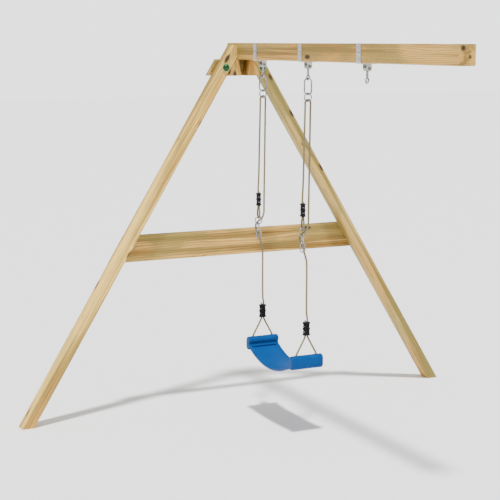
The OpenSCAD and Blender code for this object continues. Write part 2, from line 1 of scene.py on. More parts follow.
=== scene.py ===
# %% [markdown]
# # A garden swing bay
# The steel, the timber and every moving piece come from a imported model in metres. This
# lesson loads it, gives each real material its look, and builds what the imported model
# keeps plain: laid rope, the moulded seat and the ribbed rope clamps.

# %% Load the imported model
import math

import bpy
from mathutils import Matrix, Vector


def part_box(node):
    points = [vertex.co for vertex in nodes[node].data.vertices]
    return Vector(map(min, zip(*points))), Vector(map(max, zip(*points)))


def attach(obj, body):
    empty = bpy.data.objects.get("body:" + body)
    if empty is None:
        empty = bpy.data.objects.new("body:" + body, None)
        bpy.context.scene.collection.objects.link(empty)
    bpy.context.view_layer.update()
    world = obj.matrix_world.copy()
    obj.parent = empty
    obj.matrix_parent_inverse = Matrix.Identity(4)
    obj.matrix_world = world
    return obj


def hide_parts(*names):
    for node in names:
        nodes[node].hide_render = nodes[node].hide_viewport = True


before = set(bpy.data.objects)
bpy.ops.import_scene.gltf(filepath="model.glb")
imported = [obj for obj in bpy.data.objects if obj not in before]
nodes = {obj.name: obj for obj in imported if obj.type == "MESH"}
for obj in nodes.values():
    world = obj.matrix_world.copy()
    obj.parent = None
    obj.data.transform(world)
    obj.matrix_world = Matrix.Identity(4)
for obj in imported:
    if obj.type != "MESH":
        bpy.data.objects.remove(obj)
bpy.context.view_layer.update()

# %% [markdown]
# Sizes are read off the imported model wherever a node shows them, so that this script
# follows the model. The beam gives the height to hang from, and the two upper clamps
# give the places of the ropes.

# %% Sizes
MM = 0.001
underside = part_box("swing_beam")[0].z
side_x = {s: sum(c.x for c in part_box(f"upper_clamp_{s}")) / 2 for s in ("left", "right")}
seat_low, seat_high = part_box("swing_seat")
rope_low, rope_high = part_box("seat_rope_left")
rope_r = (rope_high.x - rope_low.x) / 2
hanger_spacing = side_x["right"] - side_x["left"]
print("hangers at", side_x, "rope radius", round(rope_r, 5))

# %% [markdown]
# The camera stands about six metres off on the tower's side, as high as the beam, and
# looks slantwise at the frame. A long lens keeps the perspective gentle.

# %% Camera
camera = bpy.data.objects.new("camera", bpy.data.cameras.new("camera"))
bpy.context.scene.collection.objects.link(camera)
camera.location = (5.758, -3.192, 2.067)
look_at = Vector((0.05, -0.47, 1.07))
camera.rotation_euler = (look_at - camera.location).to_track_quat("-Z", "Y").to_euler()
camera.data.lens = 96
camera.data.clip_end = 100
bpy.context.scene.camera = camera
print("camera to object:", round((look_at - camera.location).length, 2), "m")

# %% [markdown]
# Node trees are long to write out, so small helpers build them: one adds a node with its
# values, one joins sockets, and others make sums, colour blends, ramps and bumps. Two
# more start a node group with named sockets and a material. A group only puts out
# colours and values that change over the surface, and the shader stays in the material.

# %% Node helpers
def add(tree, kind, values=None, **settings):
    node = tree.nodes.new("ShaderNode" + kind)
    for key, value in settings.items():
        setattr(node, key, value)
    for key, value in (values or {}).items():
        node.inputs[key].default_value = value
    return node


def join(tree, *pairs):
    for out, into in pairs:
        tree.links.new(out, into)


def math_node(tree, operation, a, b=0.0, clamp=False):
    node = add(tree, "Math", operation=operation, use_clamp=clamp)
    for index, value in enumerate((a, b)):
        if isinstance(value, (int, float)):
            node.inputs[index].default_value = value
        else:
            tree.links.new(value, node.inputs[index])
    return node.outputs[0]


def blend_colours(tree, factor, first, second, mode="MIX"):
    node = add(tree, "Mix", data_type="RGBA", blend_type=mode)
    for socket, value in zip((node.inputs[0], node.inputs[6], node.inputs[7]),
                             (factor, first, second)):
        if isinstance(value, (int, float, tuple)):
            socket.default_value = value
        else:
            tree.links.new(value, socket)
    return node.outputs[2]


def ramp(tree, factor, *stops, smooth=False):
    node = add(tree, "ValToRGB")
    node.color_ramp.interpolation = "EASE" if smooth else "LINEAR"
    elements = node.color_ramp.elements
    while len(elements) < len(stops):
        elements.new(0.5)
    for element, (position, value) in zip(elements, stops):
        element.position = position
        element.color = value if isinstance(value, tuple) else (value, value, value, 1)
    tree.links.new(factor, node.inputs[0])
    return node.outputs[0]


def new_group(name, inputs, outputs):
    tree = bpy.data.node_groups.new(name, "ShaderNodeTree")
    for socket, kind, value in inputs:
        made = tree.interface.new_socket(socket, in_out="INPUT", socket_type=kind)
        if value is not None:
            made.default_value = value
    for socket, kind in outputs:
        tree.interface.new_socket(socket, in_out="OUTPUT", socket_type=kind)
    return tree, tree.nodes.new("NodeGroupInput"), tree.nodes.new("NodeGroupOutput")


def new_material(name, roughness=0.5, **sockets):
    material = bpy.data.materials.new(name)
    material.use_nodes = True
    shader = material.node_tree.nodes["Principled BSDF"]
    shader.inputs["Roughness"].default_value = roughness
    for key, value in sockets.items():
        shader.inputs[key.replace("_", " ")].default_value = value
    return material, material.node_tree, shader


def add_bump(tree, shader, height, distance, strength=1.0):
    bump = add(tree, "Bump", {"Distance": distance, "Strength": strength})
    join(tree, (height, bump.inputs["Height"]), (bump.outputs[0], shader.inputs["Normal"]))


print("helpers ready")

# %% [markdown]
# Pressure-treated pine is cut from a round trunk, so its figure is a solid pattern: pale
# and dark rings round a pith. An image wrapped on each face would break at the edges, so
# the group works in solid space instead. It takes a point in the board's own directions
# (x along the board) and measures its distance from a line that stands for the pith.
# That line passes near the scene's middle, far from the boards, so the rings are nearly
# straight, and slow noise bends them into long flames. Knots are stretched cells that
# push the rings aside. The salts of the treatment leave green patches, resin leaves
# orange streaks, and weather darkens long strips.

# %% Pine group
def pine_group():
    colour, value, vector = "NodeSocketColor", "NodeSocketFloat", "NodeSocketVector"
    tree, source, result = new_group(
        "pine grain",
        [("Point", vector, None), ("Pale", colour, (0.62, 0.44, 0.2, 1)),
         ("Dark", colour, (0.3, 0.17, 0.05, 1)), ("Green", value, 0.5), ("Seed", value, 0.0)],
        [("Color", colour), ("Roughness", value), ("Height", value)],
    )
    rings_per_metre = 115.0
    pith_back, pith_down = 0.075, 0.045
    streak_brown = (0.56, 0.26, 0.04, 1)
    treated_green = (0.2, 0.17, 0.04, 1)
    knot_brown, knot_black = (0.33, 0.17, 0.05, 1), (0.03, 0.012, 0.005, 1)
    shift = add(tree, "CombineXYZ")
    join(tree, (source.outputs["Seed"], shift.inputs[0]))
    point = add(tree, "VectorMath", operation="ADD")
    join(tree, (source.outputs["Point"], point.inputs[0]), (shift.outputs[0], point.inputs[1]))

    def stretched(scale):
        node = add(tree, "VectorMath", operation="MULTIPLY")
        node.inputs[1].default_value = scale
        join(tree, (point.outputs[0], node.inputs[0]))
        return node.outputs[0]

    def cloud(scale, detail=3.0, size=1.0):
        node = add(tree, "TexNoise", {"Scale": size, "Detail": detail, "Roughness": 0.55})
        join(tree, (stretched(scale), node.inputs["Vector"]))
        return node.outputs["Fac"]

    knot = add(tree, "TexVoronoi", {"Scale": 1.0, "Randomness": 1.0})
    join(tree, (stretched((4.2, 11.0, 11.0)), knot.inputs["Vector"]))
    knot_ring = ramp(tree, knot.outputs["Distance"], (0.0, 1.0), (0.3, 0.0), smooth=True)
    knot_core = ramp(tree, knot.outputs["Distance"], (0.08, 1.0), (0.16, 0.0), smooth=True)
    bend = math_node(tree, "MULTIPLY", cloud((1.1, 7.0, 7.0)), 0.05)
    fine_bend = math_node(tree, "MULTIPLY", cloud((5.0, 40.0, 40.0)), 0.006)
    split = add(tree, "SeparateXYZ")
    join(tree, (point.outputs[0], split.inputs[0]))
    across = math_node(tree, "ADD", split.outputs[1], pith_back)
    up = math_node(tree, "ADD", split.outputs[2], pith_down)
    square = math_node(tree, "ADD", math_node(tree, "MULTIPLY", across, across),
                       math_node(tree, "MULTIPLY", up, up))
    radius = math_node(tree, "ADD", math_node(tree, "SQRT", square),
                       math_node(tree, "ADD", bend, fine_bend))
    radius = math_node(tree, "ADD", radius, math_node(tree, "MULTIPLY", knot_ring, 0.012))
    phase = math_node(tree, "FRACT", math_node(tree, "MULTIPLY", radius, rings_per_metre))
    late = ramp(tree, phase, (0.0, 0.05), (0.55, 0.35), (0.86, 1.0), (1.0, 0.05))
    fibre = cloud((18.0, 900.0, 900.0), detail=2.0)
    broad = cloud((0.9, 12.0, 12.0))
    grain = math_node(tree, "ADD", math_node(tree, "MULTIPLY", late, 0.62),
                      math_node(tree, "MULTIPLY", fibre, 0.42))
    wood = blend_colours(tree, ramp(tree, grain, (0.22, 0.0), (0.78, 1.0)),
                         source.outputs["Pale"], source.outputs["Dark"])
    streak = ramp(tree, broad, (0.46, 0.0), (0.66, 0.7), smooth=True)
    wood = blend_colours(tree, streak, wood, streak_brown)
    tone = ramp(tree, cloud((0.8, 26.0, 26.0), detail=4.0), (0.38, (0.42, 0.39, 0.3, 1)),
                (0.58, (1.0, 1.0, 1.0, 1)), smooth=True)
    wood = blend_colours(tree, 1.0, wood, tone, mode="MULTIPLY")
    patch = ramp(tree, cloud((1.7, 5.0, 5.0), size=1.3), (0.44, 0.0), (0.6, 1.0), smooth=True)
    green = math_node(tree, "MULTIPLY", patch, source.outputs["Green"])
    wood = blend_colours(tree, green, wood, treated_green)
    wood = blend_colours(tree, math_node(tree, "MULTIPLY", knot_ring, 0.3), wood, knot_brown)
    wood = blend_colours(tree, math_node(tree, "MULTIPLY", knot_core, 0.95), wood, knot_black)
    rough = math_node(tree, "ADD", math_node(tree, "MULTIPLY", grain, 0.2), 0.55)
    height = math_node(tree, "SUBTRACT", math_node(tree, "MULTIPLY", fibre, 0.6),
                       math_node(tree, "MULTIPLY", late, 0.4))
    join(tree, (wood, result.inputs["Color"]), (rough, result.inputs["Roughness"]),
         (height, result.inputs["Height"]))
    return tree


pine = pine_group()
print("pine group has", len(pine.nodes), "nodes")

# %% [markdown]
# Each board gets the same group with its own grain direction, tone and place in the
# trunk. A mapping node turns the board's length onto x. The legs lean, so theirs turns
# by the lean as well. Each row below holds the turn, the pale and dark wood, how green
# the board is, and a seed that moves the pattern along. The tones hold painted light:
# the sunlit front leg and front corner block get paler wood as painted sunlight, and
# the rear leg, the rear corner block and the head board under the beam get darker wood
# as painted shade, the rear leg greener as well.

# %% Timber materials
lean = math.radians(31.5)


def pine_material(name, turn, pale, dark, green, seed):
    pore_depth = 0.6 * MM
    material, tree, shader = new_material(name, Specular_IOR_Level=0.3)
    place = add(tree, "TexCoord")
    spin = add(tree, "Mapping", {"Rotation": turn})
    grain = add(tree, "Group", {}, node_tree=pine)
    for key, value in (("Pale", pale), ("Dark", dark), ("Green", green), ("Seed", seed)):
        grain.inputs[key].default_value = value
    join(tree, (place.outputs["Object"], spin.inputs[0]),
         (spin.outputs[0], grain.inputs["Point"]),
         (grain.outputs["Color"], shader.inputs["Base Color"]),
         (grain.outputs["Roughness"], shader.inputs["Roughness"]))
    add_bump(tree, shader, grain.outputs["Height"], pore_depth, 0.8)
    return material


quarter = math.pi / 2
upright = (0.0, quarter, 0.0)
crosswise = (0.0, 0.0, -quarter)
timbers = {
    "swing_beam": ((0, 0, 0), (0.76, 0.47, 0.12, 1), (0.4, 0.2, 0.035, 1), 0.55, 3.1),
    # front leg: paler wood, painted sunlight
    "front_leg": ((lean, quarter, 0), (1.0, 0.71, 0.19, 1), (0.62, 0.33, 0.06, 1), 0.3, 7.7),
    # rear leg: darker, greener wood, painted shade
    "rear_leg": ((-lean, quarter, 0), (0.64, 0.49, 0.15, 1), (0.32, 0.21, 0.05, 1), 0.65, 12.4),
    "cross_brace": (crosswise, (0.76, 0.48, 0.125, 1), (0.38, 0.19, 0.035, 1), 0.6, 21.9),
    # head board: darker wood, painted shade under the beam
    "head_board": (crosswise, (0.52, 0.34, 0.1, 1), (0.26, 0.14, 0.03, 1), 0.6, 30.2),
    # front corner block: paler wood, painted sunlight
    "front_corner_block": (upright, (0.82, 0.54, 0.14, 1), (0.44, 0.23, 0.045, 1), 0.3, 41.0),
    # rear corner block: darker wood, painted shade
    "rear_corner_block": (upright, (0.54, 0.36, 0.1, 1), (0.3, 0.17, 0.035, 1), 0.5, 47.3),
}
for name, values in timbers.items():
    nodes[name].data.materials.clear()
    nodes[name].data.materials.append(pine_material("pine " + name.replace("_", " "), *values))
print("timbers:", len(timbers), "lean", round(math.degrees(lean), 1), "degrees")

# %% [markdown]
# Planed timber never has a knife edge. A bevel modifier rounds the edges without
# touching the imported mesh, and the same helper softens straps, nuts and caps.

# %% Soft edges
def soften(piece, width, angle=35, segments=2):
    bevel = piece.modifiers.new("soft edge", "BEVEL")
    bevel.width = width
    bevel.segments = segments
    bevel.limit_method = "ANGLE"
    bevel.angle_limit = math.radians(angle)
    bevel.harden_normals = True
    bevel.use_clamp_overlap = True
    piece.data.shade_smooth()


timber_edge = 1.6 * MM
for name in timbers:
    soften(nodes[name], timber_edge)
print("softened", len(timbers), "timbers")

# %% [markdown]
# Steel on a swing is zinc coated. The straps are dipped in hot zinc, which freezes into
# pale and dark flakes, and the wire parts are plated and rubbed by use. One group gives
# both: cells for the flakes, and a slow cloud for the dull places, each with its own size.

# %% Zinc group and metals
def zinc_group():
    colour, value = "NodeSocketColor", "NodeSocketFloat"
    tree, source, result = new_group(
        "zinc coat",
        [("Bright", colour, (0.6, 0.6, 0.6, 1)), ("Dull", colour, (0.35, 0.35, 0.35, 1)),
         ("Flake size", value, 120.0), ("Flake strength", value, 0.5)],
        [("Color", colour), ("Roughness", value), ("Height", value)],
    )
    place = add(tree, "TexCoord")
    flakes = add(tree, "TexVoronoi", {"Randomness": 1.0})
    cloud = add(tree, "TexNoise", {"Scale": 45.0, "Detail": 4.0})
    scratch = add(tree, "TexNoise", {"Scale": 700.0, "Detail": 2.0})
    join(tree, *((place.outputs["Object"], n.inputs["Vector"]) for n in (flakes, cloud, scratch)),
         (source.outputs["Flake size"], flakes.inputs["Scale"]))
    shade = add(tree, "SeparateColor")
    join(tree, (flakes.outputs["Color"], shade.inputs[0]))
    flake = math_node(tree, "MULTIPLY", shade.outputs[0], source.outputs["Flake strength"])
    worn = ramp(tree, cloud.outputs["Fac"], (0.38, 0.0), (0.66, 1.0), smooth=True)
    mixed = math_node(tree, "ADD", flake, math_node(tree, "MULTIPLY", worn, 0.55), clamp=True)
    colours = blend_colours(tree, mixed, source.outputs["Bright"], source.outputs["Dull"])
    rough = math_node(tree, "ADD", math_node(tree, "MULTIPLY", mixed, 0.25), 0.26)
    join(tree, (colours, result.inputs["Color"]), (rough, result.inputs["Roughness"]),
         (scratch.outputs["Fac"], result.inputs["Height"]))
    return tree


zinc = zinc_group()


def metal_material(name, bright, dull, flake_size, flake_strength):
    material, tree, shader = new_material(name, Metallic=1.0)
    coat = add(tree, "Group", {}, node_tree=zinc)
    for key, value in (("Bright", bright), ("Dull", dull), ("Flake size", flake_size),
                       ("Flake strength", flake_strength)):
        coat.inputs[key].default_value = value
    join(tree, (coat.outputs["Color"], shader.inputs["Base Color"]),
         (coat.outputs["Roughness"], shader.inputs["Roughness"]))
    add_bump(tree, shader, coat.outputs["Height"], 0.00012, 0.5)
    return material


metals = {
    "galvanised": metal_material("galvanised strap", (0.66, 0.65, 0.62, 1), (0.4, 0.4, 0.39, 1),
                                 95.0, 0.55),
    "forged": metal_material("plated forging", (0.4, 0.4, 0.41, 1), (0.13, 0.13, 0.14, 1),
                             60.0, 0.15),
    "bright": metal_material("bright zinc", (0.5, 0.5, 0.5, 1), (0.24, 0.24, 0.24, 1),
                             200.0, 0.2),
    # the pivot pin is given a dark steel colour
    "dark": metal_material("dark oiled steel", (0.22, 0.22, 0.23, 1), (0.09, 0.09, 0.1, 1),
                           80.0, 0.2),
}
print("metals:", sorted(metals))

# %% [markdown]
# Moulded plastic is never quite even: the mould is spark-eroded to a fine grain, and the
# pigment swirls a little. One group gives the grain and the swirl. The seat is a satin
# blue with a dusty bloom, the caps are glossy, and the rope clamps are a dull black.

# %% Moulded plastic group and plastics
def plastic_group():
    colour, value = "NodeSocketColor", "NodeSocketFloat"
    tree, source, result = new_group(
        "moulded plastic",
        [("Base", colour, (0.1, 0.1, 0.1, 1)), ("Worn", colour, (0.2, 0.2, 0.2, 1)),
         ("Gloss", value, 0.4)],
        [("Color", colour), ("Roughness", value), ("Height", value)],
    )
    place = add(tree, "TexCoord")
    grain = add(tree, "TexNoise", {"Scale": 900.0, "Detail": 2.0})
    bloom = add(tree, "TexNoise", {"Scale": 16.0, "Detail": 5.0, "Roughness": 0.6})
    join(tree, (place.outputs["Object"], grain.inputs["Vector"]),
         (place.outputs["Object"], bloom.inputs["Vector"]))
    worn = ramp(tree, bloom.outputs["Fac"], (0.4, 0.0), (0.75, 0.5), smooth=True)
    colours = blend_colours(tree, worn, source.outputs["Base"], source.outputs["Worn"])
    rough = math_node(tree, "ADD", math_node(tree, "MULTIPLY", worn, 0.22),
                      source.outputs["Gloss"])
    join(tree, (colours, result.inputs["Color"]), (rough, result.inputs["Roughness"]),
         (grain.outputs["Fac"], result.inputs["Height"]))
    return tree


moulded = plastic_group()


def plastic_material(name, base, worn, gloss, grain=0.00008, **sockets):
    material, tree, shader = new_material(name, **sockets)
    skin = add(tree, "Group", {}, node_tree=moulded)
    for key, value in (("Base", base), ("Worn", worn), ("Gloss", gloss)):
        skin.inputs[key].default_value = value
    join(tree, (skin.outputs["Color"], shader.inputs["Base Color"]),
         (skin.outputs["Roughness"], shader.inputs["Roughness"]))
    add_bump(tree, shader, skin.outputs["Height"], grain, 0.6)
    return material


plastics = {
    "seat": plastic_material("blue seat plastic", (0.0, 0.047, 0.19, 1),
                             (0.001, 0.065, 0.24, 1), 0.4, grain=0.00015,
                             Specular_IOR_Level=0.09),
    "cap": plastic_material("dark green cap", (0.001, 0.035, 0.004, 1),
                            (0.004, 0.06, 0.008, 1), 0.12, Specular_IOR_Level=0.35),
    "base": plastic_material("pale green cap base", (0.3, 0.5, 0.2, 1), (0.36, 0.55, 0.26, 1), 0.4),
    "black": plastic_material("black clamp plastic", (0.004, 0.004, 0.0045, 1),
                              (0.012, 0.012, 0.013, 1), 0.42, Specular_IOR_Level=0.12),
    "nylon": plastic_material("natural nylon", (0.7, 0.68, 0.6, 1), (0.6, 0.57, 0.48, 1), 0.4),
}
print("plastics:", sorted(plastics))

# %% [markdown]
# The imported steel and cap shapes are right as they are, so they only take their finish
# and a small soft edge. Each row below holds the first words of the nodes' names, their
# finish and their edge in millimetres, which keeps left, right and spare hangers alike.

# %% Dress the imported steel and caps
finishes = (
    (("strap_left", "strap_right", "strap_spare"), metals["galvanised"], 0.8),
    (("strap_bolts", "strap_washers", "strap_nuts", "pivot_nuts", "head_bolts", "head_nuts",
      "leg_screws", "block_screws", "brace_screws", "clamp_screws"), metals["bright"], 0.4),
    (("pivot_pin",), metals["dark"], 0.4),
    (("hanger_link", "snap_hook", "snap_gate", "gate_pin", "top_ring", "adjuster_links"),
     metals["forged"], 0.3),
    (("pivot_bush",), plastics["nylon"], 0.3),
    (("cap_bases",), plastics["base"], 0.8),
    (("bolt_caps",), plastics["cap"], 0.4),
)
for starts, material, edge in finishes:
    for name, node in nodes.items():
        if name.startswith(starts):
            node.data.materials.clear()
            node.data.materials.append(material)
            soften(node, edge * MM, angle=40)
print("dressed", sum(n.startswith(f[0]) for n in nodes for f in finishes), "nodes")

# %% [markdown]
# Everything else is built from rings of points joined by faces: a rope, a seat web and a
# clamp are all one outline carried along a line. This helper does that once, closes the
# ends, and hangs the new piece on its body.

# %% Sweep helper
def skin_rings(name, rings, material, body, replaces=(), closed_ends=True):
    count = len(rings[0])
    points = [p for ring in rings for p in ring]
    faces = []
    for i in range(len(rings) - 1):
        for k in range(count):
            a, b = i * count + k, i * count + (k + 1) % count
            faces.append((a, b, b + count, a + count))
    if closed_ends:
        faces.append(tuple(reversed(range(count))))
        faces.append(tuple((len(rings) - 1) * count + k for k in range(count)))
    mesh = bpy.data.meshes.new(name)
    mesh.from_pydata([tuple(p) for p in points], [], faces)
    mesh.materials.append(material)
    mesh.shade_smooth()
    piece = bpy.data.objects.new(name, mesh)
    bpy.context.scene.collection.objects.link(piece)
    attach(piece, body)
    if replaces:
        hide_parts(*replaces)
    return piece


def arc(centre, radius, start, end, steps):
    """Points on an arc, angles in degrees."""
    return [(centre[0] + radius * math.cos(math.radians(start + (end - start) * i / steps)),
             centre[1] + radius * math.sin(math.radians(start + (end - start) * i / steps)))
            for i in range(steps + 1)]


print("sweep helper ready")

# %% [markdown]
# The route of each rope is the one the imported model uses: from its tail in the upper
# clamp, round the rope eye, up and over the top ring, down through the two adjuster
# links and the lower clamp, to the seat. The points are in millimetres from the hanger,
# with heights below the beam. A Catmull-Rom curve rounds them off, as rope would lie.

# %% Rope routes
crown = [(0, 15 * math.cos(math.radians(a)), -208.6 + 15 * math.sin(math.radians(a)))
         for a in (180, 157.5, 135, 112.5, 90, 67.5, 45, 22.5, 0)]
rope_points = [
    (6.2, -25, -716), (6.2, -25, -755), (6.2, -25, -790),
    (8, -25, -803), (11.5, -25, -818), (13, -25, -832), (12.5, -25, -845),
    (9, -25, -855), (0, -25, -860), (-9, -25, -855), (-12.5, -25, -845), (-13, -25, -832),
    (-11.5, -25, -818), (-8, -25, -803), (-6.2, -25, -790),
    (-6.2, -25, -722), (-5, -25, -690), (0, -24, -620), (0, -20, -430),
    (0, -15.5, -240),
    *crown,
    (0, 14.8, -240), (0, 11, -550), (0, 8, -780), (3, 6.5, -812), (7, 3.5, -832),
    (9.3, -2, -846), (9.3, -9, -858), (5.5, -16.5, -867), (0, -23, -874), (-6, -29, -881),
    (-9.3, -35, -890), (-9.3, -38, -905), (-9.3, -36, -921), (-9, -31.5, -935),
    (-4.5, -27, -945), (0, -25, -951), (5, -23.5, -957), (9.3, -22, -967),
    (9.3, -19, -980), (6, -12, -997), (2, -4, -1018), (0, -0.5, -1042), (0, 0, -1070),
    (0, 0, -1270), (0, 1, -1300), (0, 4.5, -1325), (0, 6.2, -1342),
    (0, 6.2, -1380), (0, 6.2, -1415), (0, 8, -1424), (0, 12, -1433), (0, 57.5, -1514.2),
]
tail_points = [(0, -6.2, -1338), (0, -6.2, -1380), (0, -6.2, -1415), (0, -8, -1424),
               (0, -12, -1433), (0, -57.5, -1514.2)]
tuck_points = (
    [(0, 57.5, -1520)]
    + [(0, 37.5 + 20 * math.cos(math.radians(a)), -1557 + 20 * math.sin(math.radians(a)))
       for a in (0, -22.5, -45, -67.5, -90)]
    + [(0, -37.5 + 20 * math.cos(math.radians(a)), -1557 + 20 * math.sin(math.radians(a)))
       for a in (-90, -112.5, -135, -157.5, -180)]
    + [(0, -57.5, -1520)]
)


def placed(points, x):
    return [Vector((x + p[0] * MM, p[1] * MM, underside + p[2] * MM)) for p in points]


def smooth_route(points, step):
    """A centripetal Catmull-Rom curve through the points, cut into nearly equal steps."""
    ends = [points[0] * 2 - points[1], *points, points[-1] * 2 - points[-2]]
    line = [points[0]]
    for p0, p1, p2, p3 in zip(ends, ends[1:], ends[2:], ends[3:]):
        t0 = 0.0
        t1 = t0 + math.sqrt((p1 - p0).length)
        t2 = t1 + math.sqrt((p2 - p1).length)
        t3 = t2 + math.sqrt((p3 - p2).length)
        pieces = max(1, round((p2 - p1).length / step))
        for i in range(1, pieces + 1):
            t = t1 + (t2 - t1) * i / pieces
            a1 = p0 * ((t1 - t) / (t1 - t0)) + p1 * ((t - t0) / (t1 - t0))
            a2 = p1 * ((t2 - t) / (t2 - t1)) + p2 * ((t - t1) / (t2 - t1))
            a3 = p2 * ((t3 - t) / (t3 - t2)) + p3 * ((t - t2) / (t3 - t2))
            b1 = a1 * ((t2 - t) / (t2 - t0)) + a2 * ((t - t0) / (t2 - t0))
            b2 = a2 * ((t3 - t) / (t3 - t1)) + a3 * ((t - t1) / (t3 - t1))
            line.append(b1 * ((t2 - t) / (t2 - t1)) + b2 * ((t - t1) / (t2 - t1)))
    return line


def route_length(line):
    return sum((b - a).length for a, b in zip(line, line[1:]))


print("one swing rope:", round(route_length(smooth_route(placed(rope_points, 0), 0.003)), 3), "m")

# %% [markdown]
# Laid rope is three strands twisted together, and each strand is a bundle of yarns
# twisted the other way. The strands are real geometry, which the next step makes. The
# yarns are finer than a millimetre, so they are colour and bump, drawn from a UV map
# that runs round and along the rope. The colour darkens in the grooves between the
# yarns as painted shade.

# %% Rope material
def rope_material():
    material, tree, shader = new_material("laid rope", roughness=0.85)
    shader.inputs["Sheen Weight"].default_value = 0.25
    strand_map = add(tree, "UVMap", uv_map="strands")
    split = add(tree, "SeparateXYZ")
    join(tree, (strand_map.outputs[0], split.inputs[0]))
    yarns_round, yarns_along = 15.0, -11.0
    yarn = math_node(tree, "FRACT", math_node(tree, "ADD",
                     math_node(tree, "MULTIPLY", split.outputs[0], yarns_round),
                     math_node(tree, "MULTIPLY", split.outputs[1], yarns_along)))
    ridge = ramp(tree, yarn, (0.0, 0.0), (0.5, 1.0), (1.0, 0.0), smooth=True)
    place = add(tree, "TexCoord")
    fuzz = add(tree, "TexNoise", {"Scale": 500.0, "Detail": 3.0})
    soil = add(tree, "TexNoise", {"Scale": 7.0, "Detail": 4.0})
    join(tree, (place.outputs["Object"], fuzz.inputs["Vector"]),
         (place.outputs["Object"], soil.inputs["Vector"]))
    # dark in the grooves between the yarns, light on their crowns: painted groove shade
    colours = blend_colours(tree, ridge, (0.06, 0.045, 0.016, 1), (0.26, 0.205, 0.09, 1))
    colours = blend_colours(tree, ramp(tree, soil.outputs["Fac"], (0.35, 0.0), (0.7, 0.5)),
                            colours, (0.2, 0.18, 0.07, 1))
    height = math_node(tree, "ADD", ridge, math_node(tree, "MULTIPLY", fuzz.outputs["Fac"], 0.7))
    join(tree, (colours, shader.inputs["Base Color"]))
    add_bump(tree, shader, height, 0.0004, 0.9)
    return material


rope_finish = rope_material()
print("rope finish ready")

# %% [markdown]
# Three round strands that touch give an outline with three lobes. The ropes come from
# turning that outline once in each lay while it is carried along the route. A curve with
# a round bevel would be quicker, but it would show no strands at the edge. Each end is
# closed with two smaller rings, so that it is blunt and round.

# %% Lay a rope along a route
def strand_outline(radius, groove_floor=0.82):
    """(angle, distance from the middle) round three touching strands."""
    strand = radius / (1 + 2 / math.sqrt(3))
    centre = radius - strand
    outline = []
    for lobe in range(3):
        for turn in (-50, -30, -10, 10, 30, 50):
            a = math.radians(turn)
            reach = centre * math.cos(a) + math.sqrt(strand**2 - (centre * math.sin(a)) ** 2)
            outline.append((math.radians(lobe * 120 + turn), max(reach, groove_floor * radius)))
    return outline


def lay_rope(name, line, radius, body, replaced, lay=0.036):
    outline = strand_outline(radius)
    side = Vector((1, 0, 0))
    rings, lengths, travelled = [], [], 0.0
    for i, here in enumerate(line):
        ahead = (line[min(i + 1, len(line) - 1)] - line[max(i - 1, 0)]).normalized()
        side = (side - ahead * side.dot(ahead)).normalized()
        up = ahead.cross(side)
        if i:
            travelled += (here - line[i - 1]).length
        lengths.append(travelled)
        turn = 2 * math.pi * travelled / lay
        rings.append([here + (side * math.cos(a + turn) + up * math.sin(a + turn)) * r
                      for a, r in outline])
    for end, inner in ((0, 1), (-1, -2)):
        ring, middle = rings[end], line[end]
        nose = (middle - line[inner]).normalized()
        for share, reach in ((0.8, 0.5), (0.4, 0.85)):
            cap = [middle + (p - middle) * share + nose * reach * radius * 0.9 for p in ring]
            place = 0 if end == 0 else len(rings)
            rings.insert(place, cap)
            lengths.insert(place, lengths[end])
    piece = skin_rings(name, rings, rope_finish, body, (replaced,))
    count = len(outline)
    uv = piece.data.uv_layers.new(name="strands")
    for polygon in piece.data.polygons:
        corners = list(polygon.loop_indices)
        marks = [piece.data.loops[c].vertex_index for c in corners]
        rounds = [m % count for m in marks]
        wraps = max(rounds) - min(rounds) > count / 2
        for corner, mark, place in zip(corners, marks, rounds):
            around = place + (count if wraps and place == 0 else 0)
            uv.data[corner].uv = (around / count * 3, lengths[mark // count] / lay)
    return piece


rope_step = 2.8 * MM
for side, x in side_x.items():
    for kind, points in (("swing_rope", rope_points), ("bridle_tail", tail_points)):
        line = smooth_route(placed(points, x), rope_step)
        piece = lay_rope(f"laid_{kind}_{side}", line, rope_r, f"line_{side}", f"{kind}_{side}")
        print(piece.name, round(route_length(line), 3), "m", len(piece.data.vertices), "points")
    line = smooth_route(placed(tuck_points, x), rope_step)
    lay_rope(f"laid_seat_rope_{side}", line, rope_r, "seat", f"seat_rope_{side}")

# %% [markdown]
# The seat is one flexible moulding: a web that sags between two upright ends. The web
# has a round rim along both long edges and low ribs for grip. Its outline across the
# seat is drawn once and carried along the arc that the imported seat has. Ribs are real
# shape, so that they also show from the side.

# %% Seat web
seat_x = (seat_low.x + seat_high.x) / 2
seat_depth = seat_high.y - seat_low.y
seat_top = seat_high.z
end_thick = (seat_high.x - seat_low.x) - hanger_spacing
web_thick, rim_r = 0.012, 0.009
step_down, sag = 0.049, 0.062
web_half = (hanger_spacing - end_thick) / 2
web_r = (web_half**2 + sag**2) / (2 * sag)
web_centre = seat_top - step_down - sag + web_r


def web_outline():
    """(across the seat, below the seating surface) once round, for one cut of the web."""
    edge = seat_depth / 2 - rim_r
    middle = web_thick / 2
    meet = math.degrees(math.asin(middle / rim_r))
    ribs, rib_depth, points_each = 20, 0.6 * MM, 6
    flat = edge - rim_r * math.cos(math.radians(meet))
    top = []
    for i in range(ribs * points_each + 1):
        share = i / (ribs * points_each)
        dip = rib_depth * (1 - math.cos(2 * math.pi * ribs * share)) / 2
        top.append((flat - 2 * flat * share, dip))
    rear = [(-edge - dy, middle - dz)
            for dy, dz in arc((0, 0), rim_r, 180 - meet, -180 + meet, 16)]
    front = [(edge + dy, middle - dz)
             for dy, dz in arc((0, 0), rim_r, -180 + meet, 180 - meet, 16)]
    lower = [(-flat + 2 * flat * i / 8, web_thick) for i in range(1, 8)]
    return top, rear, lower, front


